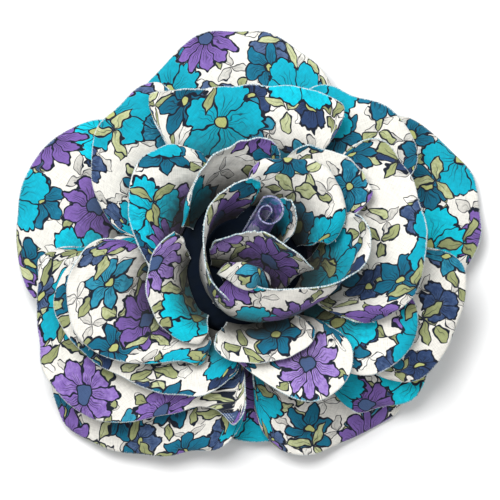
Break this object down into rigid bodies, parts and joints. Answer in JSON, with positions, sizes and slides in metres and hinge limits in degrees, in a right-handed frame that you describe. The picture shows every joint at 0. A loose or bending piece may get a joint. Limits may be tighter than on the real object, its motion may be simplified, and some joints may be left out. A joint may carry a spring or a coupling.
{
  "type": "flower lapel pin",
  "caption": "Rose-shaped lapel pin of layered printed cotton petals round a rolled bud, on a felt back with a brooch bar.",
  "frame": {"origin": "under the middle of the flower, on the surface that it lies on", "axes": "+Z out of the flower's face, +Y up as it is worn, +X to the right as it is seen from the front"},
  "size_m": [0.0929, 0.0855, 0.0348],
  "materials": {
    "printed_cotton": "stiffened cotton lawn with a printed floral pattern and raw cut edges",
    "core_cloth": "plain dark gathered cloth",
    "felt": "plain felt",
    "bar_metal": "plain nickel-plated steel"
  },
  "bodies": {
    "root": {"petal_bud_folded": "printed_cotton", "petal_bud_front": "printed_cotton", "petal_bud_inner": "printed_cotton", "petal_bud_low_left": "printed_cotton", "petal_bud_low_right": "printed_cotton", "petal_bud_right": "printed_cotton", "petal_bud_top": "printed_cotton", "petal_cup_bottom": "printed_cotton", "petal_cup_left": "printed_cotton", "petal_cup_low_left": "printed_cotton", "petal_cup_outer_left": "printed_cotton", "petal_cup_right": "printed_cotton", "petal_middle_bottom": "printed_cotton", "petal_middle_low_left": "printed_cotton", "petal_middle_low_right": "printed_cotton", "petal_middle_right": "printed_cotton", "petal_middle_top": "printed_cotton", "petal_middle_up_left": "printed_cotton", "petal_middle_up_right": "printed_cotton", "petal_outer_bottom": "printed_cotton", "petal_outer_bottom_left": "printed_cotton", "petal_outer_left": "printed_cotton", "petal_outer_left_foot": "printed_cotton", "petal_outer_low_left": "printed_cotton", "petal_outer_low_right": "printed_cotton", "petal_outer_right": "printed_cotton", "petal_outer_right_foot": "printed_cotton", "petal_outer_top": "printed_cotton", "bud_scroll": "printed_cotton", "flower_core": "core_cloth", "felt_back": "felt", "brooch_bar": "bar_metal"}
  },
  "joints": []
}
